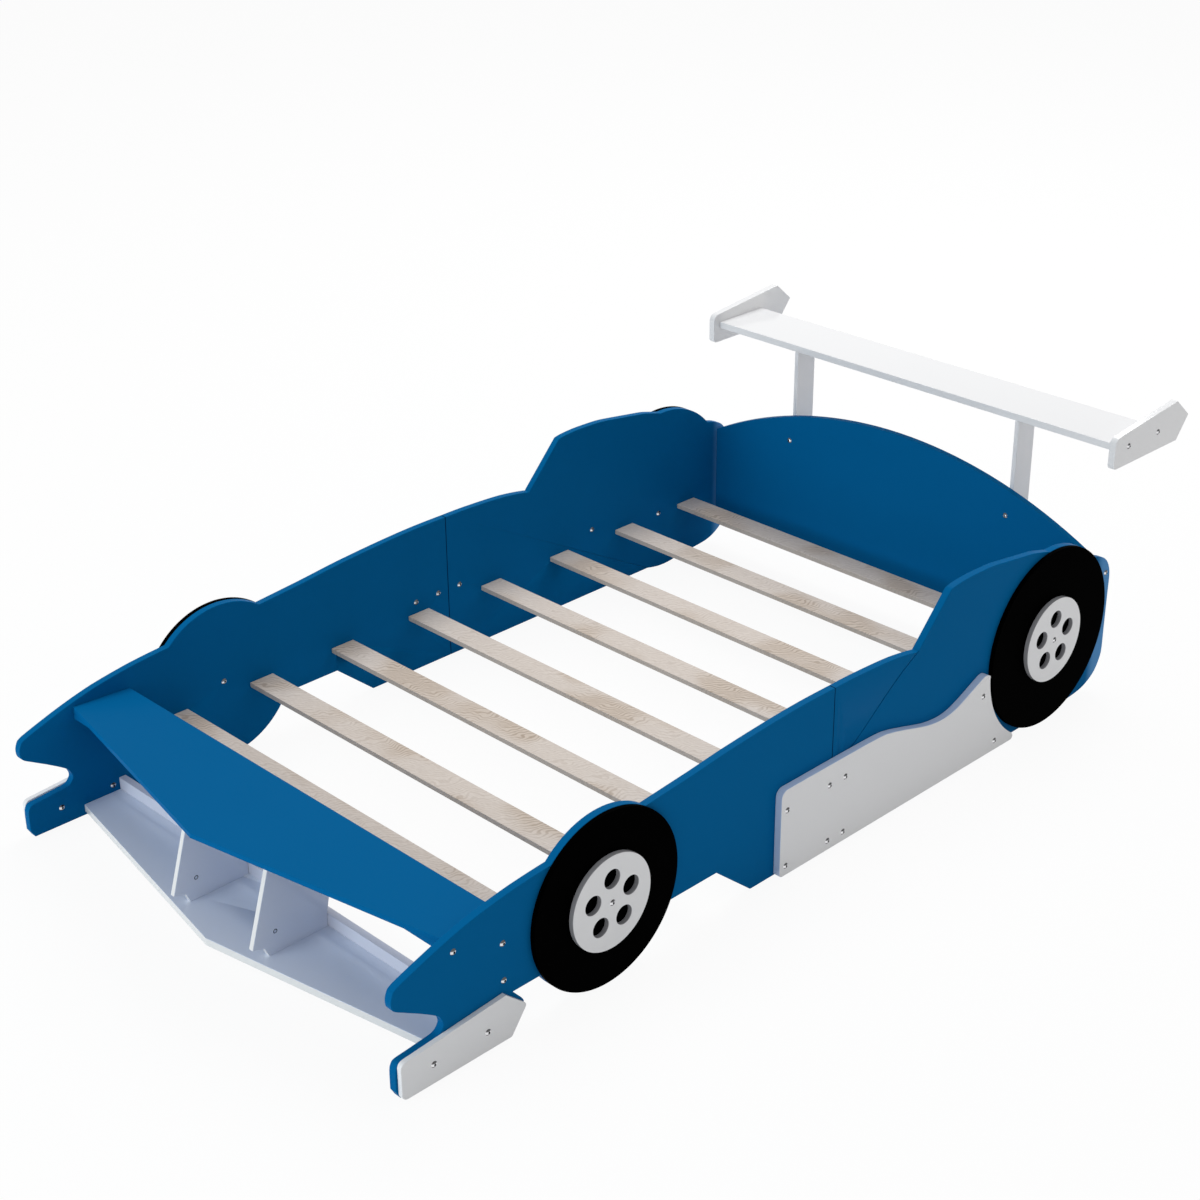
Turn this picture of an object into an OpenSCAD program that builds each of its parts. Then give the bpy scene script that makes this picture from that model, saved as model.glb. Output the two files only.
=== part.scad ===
// Child's bed in the shape of a racing car, made of flat lacquered boards.
// The nose points along -Y, the tail along +Y. Left is +X, as seen by someone
// who faces the nose. The origin is on the floor, at the middle of the bed.

/* [Mattress space] */
// Width of the mattress
mattress_w = 1219; // [900:1:1400]
// Length of the mattress
mattress_l = 1905; // [1700:1:2000]
// Gap on each side of the mattress
side_gap = 6.5; // [3:0.5:20]
// Gap at each end of the mattress
end_gap = 9; // [4:0.5:25]

/* [Boards] */
// Thickness of the side panels, headboard, skirts, shelf and wing
board = 18; // [16:0.5:22]
// Thickness of the wheels, hood, bumper plates, dividers and wing posts
thin = 12; // [11:0.5:15]

/* [Side panels] */
// Height of the side panels at the joint in the middle
side_h = 392; // [370:1:420]
// Nose tip to the rear edge of the hood
nose_l = 285; // [275:1:320]
// Front face of the headboard to the tip of the tail
tail_l = 46; // [38:1:60]
// Nose tip to the joint in the middle of the side
front_panel_l = 1218; // [1150:1:1270]
// Height of the panels' feet above the floor
foot_gap = 9; // [3:0.5:15]
// Height of the cut away stretches of the bottom edge
recess_z = 99; // [80:1:110]
// Length of the bumper, from the nose tip
bumper_l = 321; // [290:1:345]
// Width of the groove that marks the door
groove_w = 3; // [1:0.5:6]
// Depth of that groove
groove_depth = 1.5; // [0.5:0.25:4]

/* [Wheels] */
// Nose tip to the front wheel's centre
front_axle_in = 533; // [515:1:550]
// Front wheel's diameter
front_tyre_d = 391; // [360:1:400]
// Rear wheel's centre to the front face of the headboard
rear_axle_in = 208; // [190:1:225]
// Rear wheel's diameter
rear_tyre_d = 452; // [430:1:475]
// Diameter of the hub discs
hub_d = 212; // [190:1:240]
// Diameter of the holes in a hub
hub_hole_d = 42; // [25:1:50]
// Diameter of the circle that the hub's holes stand on
hub_circle_d = 108; // [95:1:125]
// Number of holes in a hub
hub_holes = 5; // [3:1:6]

/* [Hood] */
// Height of the hood's top at its rear edge
hood_z = 276; // [265:1:285]
// Length of the hood along the side panels
hood_side_l = 144; // [125:1:165]
// How far the hood's point runs ahead of its corners
hood_point = 122; // [60:1:150]
// Rise of the hood towards the nose, in degrees
hood_tilt = 3.2; // [0:0.1:6]
// Height of the cross board under the hood's rear edge
cross_board_h = 145; // [120:1:160]
// Hood's rear edge to the cross board
cross_board_in = 7; // [3:1:15]

/* [Shelf] */
// Height of the shelf's underside above the floor
shelf_gap = 18.5; // [14:0.5:24]
// Length of the shelf along the side panels
shelf_side_l = 112; // [95:1:120]
// How far the shelf's point runs ahead of its corners
shelf_point = 108; // [50:1:130]
// Hood's rear edge to the shelf's rear edge
shelf_back_in = 36; // [30:1:45]
// Height of the lip along the shelf's rear edge
lip_h = 30; // [20:1:40]
// Middle of the bed to the middle of a divider
divider_x = 135; // [90:1:200]

/* [Headboard] */
// Height of the headboard's top above the floor
head_h = 500; // [480:1:560]
// Height of its top at the side panels
head_edge_h = 343; // [330:1:380]
// Height of its bottom edge
head_bottom = 75; // [60:1:95]
// Height of the batten behind the headboard
rear_batten_h = 40; // [34:1:44]
// Height of that batten's middle above the floor
rear_batten_z = 313; // [300:1:318]

/* [Wing] */
// Height of the wing's underside above the floor
wing_z = 629; // [560:1:700]
// Outer face of a side panel to the end of the wing board, inwards
wing_in = 7; // [0:1:60]
// Depth of the wing board, front to back
wing_d = 168; // [140:1:200]
// Middle of the bed to the middle of a post
post_x = 352; // [250:1:450]
// Depth of a post, front to back
post_d = 68; // [50:1:90]
// How far an end plate runs ahead of the wing board
end_front = 23; // [15:1:40]
// How far it runs back from the wing board's front edge
end_back = 288; // [250:1:310]
// How far it reaches below the wing board
end_low = 38; // [25:1:60]
// Height of an end plate
end_h = 104; // [90:1:140]

/* [Slats] */
// Width of a slat
slat_w = 66; // [50:1:75]
// Thickness of a slat
slat_t = 12; // [11:0.5:16]
// Height of the slats' tops above the floor
slat_z = 165; // [152:1:175]
// Hood's rear edge to the first slat
slat_start = 77; // [60:1:90]
// Last slat to the headboard
slat_end = 91; // [75:1:105]

/* [Skirts] */
// How far a skirt runs ahead of the joint in the side
skirt_front = 182; // [160:1:200]
// Height of a skirt
skirt_h = 213; // [205:1:220]
// Gap between the rear wheel and the skirt
skirt_gap = 14.5; // [8:0.5:20]
// Rear wheel's centre to the lower end of the skirt
skirt_rear_in = 130; // [120:1:140]

/* [Fasteners] */
// Diameter of the bolts
bolt_d = 6; // [5:0.5:6.5]
// Diameter of their button heads
head_d = 14; // [12:0.5:16]
// Height of their button heads
head_t = 3.5; // [2.5:0.25:5]
// Face of a board to the middle of its barrel nut
barrel_in = 22; // [18:1:28]
// Size of the hexagon socket, across its corners
socket_d = 5.4; // [3.5:0.1:5.5]
// Diameter of the cross barrel nuts
barrel_d = 10; // [9:0.5:10.5]
// Outside diameter of the threaded inserts and sleeve nuts
insert_d = 9; // [8:0.5:10]
// Length of the threaded inserts and sleeve nuts
insert_l = 13; // [11:0.5:14]
// Diameter of the inner screws
screw_d = 5; // [4:0.5:6]
// Diameter of the wood dowels in the thick boards
dowel_d = 8; // [6:0.5:9]
// Diameter of the dowels in the thin boards and slats
slim_dowel_d = 6; // [5:0.5:6.5]
// Depth of a dowel in the board that carries it
dowel_seat = 9; // [7:0.5:10]
// Depth of a dowel in the board that it holds
dowel_in = 20; // [14:1:25]

/* [Hidden] */
$fn = 64;

// Room round a pin in its bore, and overrun of a cut past a face
fit = 0.1;
over = 1;

// Plan and heights that the pieces share
inner_w = mattress_w + 2 * side_gap;
clear_l = mattress_l + 2 * end_gap;
total_l = nose_l + clear_l + board + end_back;
nose_y = -total_l / 2;
hood_rear_y = nose_y + nose_l;
head_y = hood_rear_y + clear_l;
head_back_y = head_y + board;
tail_y = head_y + tail_l;
seam_y = nose_y + front_panel_l;
rear_panel_l = tail_y - seam_y;
inner_x = inner_w / 2;
outer_x = inner_x + board;

// Bolts into the end of a board, and the wood left over their barrel nuts
barrel_cover = 3;
barrel_l = board - barrel_cover;
end_bolt_l = board + barrel_in + barrel_d;

// Wheels: the tyres stand on the floor
front_r = front_tyre_d / 2;
rear_r = rear_tyre_d / 2;
front_axle = [nose_y + front_axle_in, front_r];
rear_axle = [head_y - rear_axle_in, rear_r];
hub_x = outer_x + thin;
hub_face_x = hub_x + thin;
wheel_dowel_out = (hub_d + hub_circle_d + hub_hole_d) / 4;

// Slats
slat_count = 8;
slat_room = clear_l - slat_start - slat_end - slat_w;
slat_pitch = slat_room / (slat_count - 1);
slat_dowel_share = 0.6;

// Hood, cross board, shelf and dividers
hood_front_y = hood_rear_y - hood_side_l;
cross_back_y = hood_rear_y - cross_board_in;
cross_front_y = cross_back_y - board;
cross_top_z = hood_under(cross_back_y);
shelf_back_y = hood_rear_y - shelf_back_in;
shelf_corner_y = shelf_back_y - shelf_side_l;
shelf_top_z = shelf_gap + board;
lip_front_y = shelf_back_y - board;
lip_top_z = shelf_top_z + lip_h;
divider_bolt_y = lip_front_y - shelf_side_l * 1.15;
divider_nut_z = shelf_top_z + 1.7 * lip_h;
// Edges of a divider, as shares of the shelf's and the hood's lengths
divider_toe_share = 0.325;
divider_nib_share = 0.664;
divider_top_share = 0.27;
divider_lean_share = 0.70;

// Headboard: its top is one arc through the middle and both ends
head_sag = head_h - head_edge_h;
head_arc_r = (inner_x * inner_x + head_sag * head_sag) / (2 * head_sag);
wing_x = outer_x - wing_in;
post_foot_z = rear_batten_z + rear_batten_h / 2;
post_bolt_z = post_foot_z + post_d * 0.745;
wing_front_y = head_back_y;

// Skirt
skirt_y = seam_y - skirt_front;
skirt_arc_r = rear_r + skirt_gap;
skirt_wave_l = rear_axle[0] - skirt_arc_r - skirt_y;
skirt_end_y = rear_axle[0] - skirt_rear_in;
skirt_bolt_in = 19;
skirt_low_bolt = 24;
skirt_high_bolt_share = 0.76;
skirt_mid_bolt_share = 0.768;
skirt_rear_bolt_in = 28;
skirt_rear_bolt_angle = 191;
skirt_corner_bolt_in = 40;
skirt_corner_bolt_angle = 223;
seam_bolt_in = 26;

// Inner screws, measured from the joint and from the rear wheel's centre
inner_screw_share = 0.87;
inner_screw_l = board + thin;
seam_screw_shares = [-0.577, -0.181, 0.209];
rear_screw_share = 0.95;
tyre_screw_out = hub_circle_d * 0.64;
tyre_screw_angle = 251;

// Outlines of the side panels. Front panel: shares of front_panel_l from the
// nose tip and of side_h, from the bumper's foot up round the mouth and the
// nose to the front wheel's arch.
nose_shares = [
    [0.000, 0.069], [0.000, 0.120], [0.0005, 0.178], [0.003, 0.207], [0.010, 0.226],
    [0.035, 0.233], [0.059, 0.240], [0.084, 0.249], [0.094, 0.273], [0.097, 0.301],
    [0.092, 0.342], [0.082, 0.372], [0.053, 0.431], [0.025, 0.483], [0.004, 0.526],
    [0.000, 0.574], [0.004, 0.618], [0.009, 0.635], [0.021, 0.653], [0.058, 0.694],
    [0.095, 0.732], [0.134, 0.767], [0.174, 0.796], [0.232, 0.826], [0.273, 0.841],
    [0.315, 0.852], [0.360, 0.860]];
// Behind the front wheel's arch, up to the joint
shoulder_shares = [
    [0.500, 0.892], [0.533, 0.901], [0.641, 0.932], [0.733, 0.963], [0.842, 0.988],
    [0.923, 0.999], [1.000, 1.000]];
foot_front_share = 0.7915;
notch_share = 0.7044;
chin_share = 0.008;
// Rear end of the bumper: shares of bumper_l and of recess_z
bumper_rear_shares = [[0.952, 0.832], [0.977, 0.736], [0.991, 0.655], [0.988, 0.55]];
bumper_top_share = 0.9065;
bumper_foot_share = 0.866;
// Rear panel: shares of rear_panel_l from the joint and of side_h
door_shares = [
    [0.000, 1.000], [0.073, 0.999], [0.172, 0.987], [0.231, 0.969], [0.273, 0.949]];
quarter_shares = [
    [0.376, 1.240], [0.395, 1.250], [0.440, 1.258], [0.500, 1.256], [0.538, 1.249],
    [0.575, 1.235], [0.649, 1.207], [0.683, 1.193], [0.727, 1.163], [0.780, 1.120]];
tail_shares = [
    [0.880, 0.957], [0.919, 0.952], [0.947, 0.935], [0.973, 0.903], [0.991, 0.848],
    [1.000, 0.773], [1.000, 0.640], [1.000, 0.400], [1.000, 0.250], [0.993, 0.184],
    [0.978, 0.120], [0.957, 0.079], [0.934, 0.052], [0.908, 0.037], [0.870, 0.028]];
groove_shares = [
    [0.275, 0.953], [0.225, 0.880], [0.188, 0.815], [0.151, 0.742], [0.115, 0.669],
    [0.082, 0.605], [0.055, 0.560]];

// Bumper plate: shares of bumper_l and of recess_z, with corner radii
plate_shares = [[0.014, 0.09], [0.014, 0.93], [0.819, 1.13], [0.984, 0.66], [0.857, 0.09]];
plate_radii_share = [0.14, 0.14, 0.03, 0.08, 0.06];
// Bolts of the bumper plate: shares of bumper_l and of recess_z
plate_bolt_shares = [[0.255, 0.53], [0.670, 0.53]];

// Top edge of a skirt: shares of skirt_wave_l and of skirt_h
skirt_top_shares = [
    [0.037, 1.000], [0.230, 1.004], [0.435, 1.002], [0.503, 0.975], [0.565, 0.922],
    [0.627, 0.862], [0.690, 0.807], [0.758, 0.783], [0.812, 0.804], [0.858, 0.856],
    [0.903, 0.922], [0.943, 0.982], [0.968, 1.015], [0.987, 1.013], [1.010, 0.965]];
skirt_corner_share = 0.09;

// End plate of the wing: shares of its length and of end_h, with corner radii
end_shares = [[0, 0], [0.859, 0], [1.004, 0.538], [0.826, 1], [0, 0.745]];
end_radii_share = [0.11, 0.03, 0.03, 0.03, 0.19];
// Bolts of an end plate, as shares of the wing board's depth
wing_bolt_shares = [0.20, 0.94];

// Hood dowels and shelf dowels, as shares of half the inside width
hood_dowel_shares = [-0.72, 0, 0.72];
lip_dowel_shares = [-0.6, 0, 0.6];
batten_dowel_shares = [-0.75, -0.25, 0.25, 0.75];
// Headboard dowels, as shares of its height at the sides
head_dowel_shares = [0.15, 0.50, 0.85];
// Dowels in the middle joint, as shares of side_h
seam_dowel_shares = [0.20, 0.60, 0.88];
shelf_dowel_shares = [0.2, 0.8];

blue = [0.02, 0.34, 0.55];
white = [0.92, 0.92, 0.93];
black = [0.02, 0.02, 0.02];
pine = [0.74, 0.68, 0.62];
steel = [0.75, 0.75, 0.76];
beech = [0.80, 0.66, 0.45];

// Height of the hood's underside at a place along the bed
function hood_under(y) = hood_z - thin / cos(hood_tilt) + (hood_rear_y - y) * tan(hood_tilt);

// A smooth curve through points, in n steps from one point to the next
function bend(a, b, c, d, t) =
    0.5 * (2 * b + (c - a) * t + (2 * a - 5 * b + 4 * c - d) * t * t
    + (3 * b - a - 3 * c + d) * t * t * t);
function curve(p, n = 4) = [
    for (i = [0 : len(p) - 2]) for (k = [0 : n - 1])
        bend(p[max(i - 1, 0)], p[i], p[i + 1], p[min(i + 2, len(p) - 1)], k / n),
    p[len(p) - 1]];

// Points from shares of a length and a height, starting at a place
function placed(shares, at, l, h) = [for (s = shares) [at + s[0] * l, s[1] * h]];

// A corner b between a and c, rounded by an arc of radius r in n steps
function corner(a, b, c, r, n = 6) =
    let (u = (a - b) / norm(a - b), v = (c - b) / norm(c - b),
         half = acos(u * v) / 2,
         q = min(r, 0.45 * min(norm(a - b), norm(c - b)) * tan(half)),
         m = b + (u + v) / norm(u + v) * q / sin(half),
         s = b + u * q / tan(half) - m,
         e = b + v * q / tan(half) - m,
         a0 = atan2(s[1], s[0]),
         turn = atan2(s[0] * e[1] - s[1] * e[0], s * e))
    [for (k = [0 : n]) m + q * [cos(a0 + turn * k / n), sin(a0 + turn * k / n)]];
function rounded(p, radii) = [
    for (i = [0 : len(p) - 1])
        each corner(p[(i + len(p) - 1) % len(p)], p[i], p[(i + 1) % len(p)], radii[i])];

// Places of the side bolts: [y, z]
front_bolt_points = [[cross_front_y + board / 2, cross_top_z - cross_board_h * 0.30],
                     [cross_front_y + board / 2, cross_top_z - cross_board_h * 0.88]];
rear_bolt_point = [head_back_y + board / 2, rear_batten_z];

// Places of the bumper plate's bolts
bumper_bolt_points = placed(plate_bolt_shares, nose_y, bumper_l, recess_z);

// Places of the skirt's bolts
skirt_points = [
    [skirt_y + skirt_bolt_in, foot_gap + skirt_h * skirt_high_bolt_share],
    [skirt_y + skirt_bolt_in, foot_gap + skirt_low_bolt],
    [seam_y - seam_bolt_in, foot_gap + skirt_h * skirt_mid_bolt_share],
    [seam_y - seam_bolt_in, foot_gap + skirt_low_bolt],
    [seam_y + seam_bolt_in, foot_gap + skirt_h * skirt_mid_bolt_share],
    [seam_y + seam_bolt_in, foot_gap + skirt_low_bolt],
    rear_axle + polar(skirt_arc_r + skirt_rear_bolt_in, skirt_rear_bolt_angle),
    rear_axle + polar(skirt_arc_r + skirt_corner_bolt_in, skirt_corner_bolt_angle)];
function polar(r, a) = [r * cos(a), r * sin(a)];

// Places of the screws that are driven from inside the bed
inner_screw_points = concat(
    [for (s = seam_screw_shares) [seam_y + s * skirt_front, foot_gap + skirt_h * inner_screw_share]],
    [[skirt_y + skirt_wave_l * rear_screw_share, foot_gap + skirt_h * inner_screw_share]]);
tyre_screw_point = rear_axle + polar(tyre_screw_out, tyre_screw_angle);

// A plate in the plane of the side panels, from x outwards
module side_plate(x, t) {
    translate([x, 0, 0]) rotate([90, 0, 90]) linear_extrude(t) children();
}

// A plate that stands across the bed, with its front face at y
module cross_plate(y, t) {
    translate([0, y + t, 0]) rotate([90, 0, 0]) linear_extrude(t) children();
}

// Pins along X, Y and Z from a point, with room g round and beyond them
module pin_z(p, d, l, g = 0) {
    translate(p - [0, 0, g]) cylinder(h = l + 2 * g, d = d + 2 * g);
}
module pin_x(p, d, l, g = 0) {
    translate(p - [g, 0, 0]) rotate([0, 90, 0]) cylinder(h = l + 2 * g, d = d + 2 * g);
}
module pin_y(p, d, l, g = 0) {
    translate(p + [0, l + g, 0]) rotate([90, 0, 0]) cylinder(h = l + 2 * g, d = d + 2 * g);
}

// Both sides of the bed: what is drawn for the left, and its mirror image
module both_sides() {
    children();
    mirror([1, 0, 0]) children();
}

// Button head bolt along Z: the head stands on z = 0, the shank hangs below
module bolt(l, d = bolt_d) {
    dome_r = (head_d * head_d / 4 + head_t * head_t) / (2 * head_t);
    difference() {
        union() {
            intersection() {
                cylinder(h = head_t, d = head_d);
                translate([0, 0, head_t - dome_r]) sphere(r = dome_r);
            }
            translate([0, 0, -l]) cylinder(h = l, d = d);
        }
        translate([0, 0, head_t * 0.3]) cylinder(h = head_t, d = socket_d, $fn = 6);
    }
}
module bolt_out(x, p, l, d = bolt_d) {
    translate([x, p[0], p[1]]) rotate([0, 90, 0]) bolt(l, d);
}
module bolt_in(x, p, l, d = bolt_d) {
    translate([x, p[0], p[1]]) rotate([0, -90, 0]) bolt(l, d);
}

// Threaded insert: a tube along X that starts at x
module insert(x, p) {
    difference() {
        pin_x([x, p[0], p[1]], insert_d, insert_l);
        pin_x([x - over, p[0], p[1]], bolt_d + 2 * fit, insert_l + 2 * over);
    }
}

// Sleeve nut: a button head on the inner face, with its tube in the panel
module sleeve_nut(p) {
    difference() {
        bolt_in(inner_x, p, insert_l, insert_d);
        pin_x([inner_x + head_t, p[0], p[1]], bolt_d + 2 * fit, insert_l);
    }
}

// Outline of the front side panel, in Y and Z, without the lobe at its wheel
module front_outline() {
    recess = [[nose_y + bumper_top_share * bumper_l, recess_z],
              [nose_y + notch_share * front_panel_l, recess_z],
              [nose_y + foot_front_share * front_panel_l, foot_gap]];
    polygon(concat(
        [[nose_y + chin_share * front_panel_l, foot_gap]],
        curve(placed(nose_shares, nose_y, front_panel_l, side_h)),
        curve(placed(shoulder_shares, nose_y, front_panel_l, side_h)),
        [[seam_y, foot_gap], recess[2], recess[1], recess[0]],
        curve(placed(bumper_rear_shares, nose_y, bumper_l, recess_z)),
        [[nose_y + bumper_foot_share * bumper_l, foot_gap]]));
}

// Outline of the rear side panel, without that lobe
module rear_outline() {
    polygon(concat(
        curve(placed(door_shares, seam_y, rear_panel_l, side_h)),
        curve(placed(quarter_shares, seam_y, rear_panel_l, side_h)),
        curve(placed(tail_shares, seam_y, rear_panel_l, side_h)),
        [[rear_axle[0], foot_gap], [seam_y, foot_gap]]));
}

// Direction across a line of points at its point i
function across(g, i) =
    let (run = g[min(i + 1, len(g) - 1)] - g[max(i - 1, 0)])
    [-run[1], run[0]] / norm(run);

// Groove that marks the door on the outer face of the rear panel
module door_groove() {
    g = curve(placed(groove_shares, seam_y, rear_panel_l, side_h), 2);
    n = len(g) - 1;
    side_plate(outer_x - groove_depth, groove_depth + over) polygon(concat(
        [for (i = [0 : n]) g[i] + across(g, i) * groove_w / 2],
        [for (i = [n : -1 : 0]) g[i] - across(g, i) * groove_w / 2]));
}

// Bores for bolts, inserts and screws through the left side panels
module front_panel_bores() {
    for (p = front_bolt_points) pin_x([inner_x - over, p[0], p[1]], bolt_d + 2 * fit, board + 2 * over);
    batten_bolt(fit);
    for (p = concat(bumper_bolt_points, [front_axle])) {
        pin_x([inner_x - over, p[0], p[1]], insert_d + 2 * fit, insert_l + over);
        pin_x([inner_x, p[0], p[1]], bolt_d + 2 * fit, board + over);
    }
}
module panel_bores() {
    for (p = concat(skirt_points, [rear_axle]))
        pin_x([outer_x - insert_l - fit, p[0], p[1]], insert_d + 2 * fit, insert_l + over);
    for (p = concat(inner_screw_points, [tyre_screw_point]))
        pin_x([inner_x - over, p[0], p[1]], screw_d + 2 * fit, board + 2 * over);
    slat_pins(fit);
    head_dowels(fit);
    shelf_dowels(fit);
    seam_dowels(fit);
    wheel_pins(fit);
}

// Round lobe that follows the wheel, down to the floor
module lobe(axle, r) {
    pin_x([inner_x, axle[0], axle[1]], 2 * r, board);
}

module front_panel() {
    color(blue) difference() {
        union() {
            side_plate(inner_x, board) front_outline();
            lobe(front_axle, front_r);
        }
        front_panel_bores();
        panel_bores();
    }
}
module rear_panel() {
    color(blue) difference() {
        union() {
            side_plate(inner_x, board) rear_outline();
            lobe(rear_axle, rear_r);
        }
        pin_x([inner_x, rear_bolt_point[0], rear_bolt_point[1]], bolt_d, board, fit);
        panel_bores();
        door_groove();
    }
}
module front_panel_left() { front_panel(); }
module front_panel_right() { mirror([1, 0, 0]) front_panel(); }
module rear_panel_left() { rear_panel(); }
module rear_panel_right() { mirror([1, 0, 0]) rear_panel(); }

// Headboard between the rear panels
module headboard() {
    color(blue) difference() {
        cross_plate(head_y, board) intersection() {
            translate([-inner_x, head_bottom]) square([inner_w, head_h - head_bottom]);
            translate([0, head_h - head_arc_r]) circle(r = head_arc_r, $fn = 360);
        }
        both_sides() {
            head_dowels(fit);
            pin_y([post_x, head_y - over, post_bolt_z], bolt_d + 2 * fit, board + 2 * over);
            post_head_dowel(fit);
        }
        batten_dowels(fit);
    }
}

// Batten that stiffens the headboard from behind and carries the posts
module rear_batten() {
    color(blue) difference() {
        translate([-inner_x, head_back_y, rear_batten_z - rear_batten_h / 2])
            cube([inner_w, board, rear_batten_h]);
        both_sides() end_bolt_bores(rear_bolt_point);
        batten_dowels(fit);
    }
}

// Bores in the end of a cross board for a bolt and its barrel nut
module end_bolt_bores(p) {
    pin_x([outer_x - end_bolt_l - fit, p[0], p[1]], bolt_d + 2 * fit, end_bolt_l);
    barrel_nut([inner_x - barrel_in, p[0], p[1]], fit);
}
// Barrel nut in a board around p, drilled in from the board's rear face
module barrel_nut(p, g = 0) {
    pin_y([p[0], p[1] + board / 2 - barrel_l, p[2]], barrel_d, barrel_l, g);
}

// The hood lies in a frame of its own: y = 0 is its rear edge, z = 0 its top
module in_hood_frame() {
    translate([0, hood_rear_y, hood_z]) rotate([-hood_tilt, 0, 0]) children();
}
batten_y = board / 2 - hood_side_l;
batten_z = -thin - board / 2;

module hood() {
    color(blue) in_hood_frame() difference() {
        translate([0, 0, -thin]) linear_extrude(thin) polygon([
            [-inner_x, 0], [-inner_x, -hood_side_l], [0, -hood_side_l - hood_point],
            [inner_x, -hood_side_l], [inner_x, 0]]);
        hood_dowels(fit);
    }
}

// Batten under the front of the hood
module hood_batten() {
    color(blue) in_hood_frame() difference() {
        translate([-inner_x, -hood_side_l, -thin - board]) cube([inner_w, board, board]);
        hood_dowels(fit);
        both_sides() {
            pin_x([outer_x - end_bolt_l - fit, batten_y, batten_z], bolt_d + 2 * fit, end_bolt_l);
            barrel_nut([inner_x - barrel_in, batten_y, batten_z], fit);
        }
    }
}
module batten_bolt(g = 0) {
    in_hood_frame() pin_x([inner_x - over, batten_y, batten_z], bolt_d + 2 * g, board + 2 * over);
}

// Board under the rear edge of the hood
module cross_board() {
    color(blue) difference() {
        side_plate(-inner_x, inner_w) polygon([
            [cross_front_y, cross_top_z - cross_board_h], [cross_back_y, cross_top_z - cross_board_h],
            [cross_back_y, cross_top_z], [cross_front_y, hood_under(cross_front_y)]]);
        both_sides() for (p = front_bolt_points) end_bolt_bores(p);
        in_hood_frame() hood_dowels(fit);
    }
}

// Shelf between the bumpers, with a point like the hood's
module shelf() {
    color(white) difference() {
        translate([0, 0, shelf_gap]) linear_extrude(board) polygon([
            [-inner_x, shelf_back_y], [-inner_x, shelf_corner_y],
            [0, shelf_corner_y - shelf_point], [inner_x, shelf_corner_y], [inner_x, shelf_back_y]]);
        both_sides() {
            shelf_dowels(fit);
            divider_bolt_bore();
            divider_dowel(fit);
        }
        lip_dowels(fit);
    }
}
module shelf_lip() {
    color(white) difference() {
        translate([-inner_x, lip_front_y, shelf_top_z]) cube([inner_w, board, lip_h]);
        lip_dowels(fit);
    }
}

// Upright divider between the shelf and the hood
module divider() {
    toe_y = lip_front_y - shelf_side_l * (1 + divider_toe_share);
    nib_y = lip_front_y - shelf_side_l * (1 + divider_nib_share);
    top_y = hood_front_y - hood_point * divider_top_share;
    lean_z = lip_top_z + (cross_top_z - lip_top_z) * divider_lean_share;
    color(white) difference() {
        side_plate(divider_x - thin / 2, thin) polygon([
            [lip_front_y, shelf_top_z], [toe_y, shelf_top_z],
            [toe_y - thin * 0.75, shelf_top_z + lip_h * 0.72],
            [nib_y, shelf_top_z + lip_h], [top_y, hood_under(top_y)],
            [cross_front_y, hood_under(cross_front_y)], [cross_front_y, lean_z],
            [lip_front_y, lip_top_z]]);
        in_hood_frame() translate([divider_x - board, -hood_side_l - fit, -thin - board - fit])
            cube([2 * board, board + 2 * fit, board + over]);
        divider_bolt_bore();
        pin_x([divider_x - thin / 2, divider_bolt_y, divider_nut_z], barrel_d, thin, fit);
        divider_dowel(fit);
    }
}
module divider_left() { divider(); }
module divider_right() {
    translate([-2 * divider_x, 0, 0]) divider();
}
divider_bolt_l = board + divider_nut_z - shelf_top_z + barrel_d / 2;
module divider_bolt_bore() {
    pin_z([divider_x, divider_bolt_y, shelf_gap - over], bolt_d + 2 * fit, divider_bolt_l + over + fit);
}

// Bumper plate on the outside of the nose
module bumper_plate() {
    color(white) difference() {
        side_plate(outer_x, thin) polygon(rounded(
            placed(plate_shares, nose_y, bumper_l, recess_z), plate_radii_share * recess_z));
        for (p = bumper_bolt_points)
            pin_x([outer_x - over, p[0], p[1]], bolt_d + 2 * fit, thin + 2 * over);
    }
}
module bumper_plate_left() { bumper_plate(); }
module bumper_plate_right() { mirror([1, 0, 0]) bumper_plate(); }

// Skirt that covers and ties the joint in the side
module skirt() {
    r = skirt_corner_share * skirt_h;
    top = [for (s = skirt_top_shares) [skirt_y + s[0] * skirt_wave_l, foot_gap + s[1] * skirt_h]];
    color(white) difference() {
        side_plate(outer_x, board) difference() {
            polygon(concat(
                corner([skirt_end_y, foot_gap], [skirt_y, foot_gap], [skirt_y, top[0][1]], r / 2),
                corner([skirt_y, foot_gap], [skirt_y, top[0][1]], top[1], r),
                curve([for (i = [1 : len(top) - 1]) top[i]]),
                corner([skirt_end_y, rear_axle[1]], [skirt_end_y, foot_gap],
                    [skirt_y, foot_gap], r / 2)));
            translate(rear_axle) circle(r = skirt_arc_r, $fn = 128);
        }
        for (p = skirt_points) pin_x([outer_x - over, p[0], p[1]], bolt_d + 2 * fit, board + 2 * over);
        for (p = inner_screw_points)
            pin_x([outer_x - over, p[0], p[1]], screw_d + 2 * fit, inner_screw_l - board + over + fit);
    }
}
module skirt_left() { skirt(); }
module skirt_right() { mirror([1, 0, 0]) skirt(); }

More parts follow.
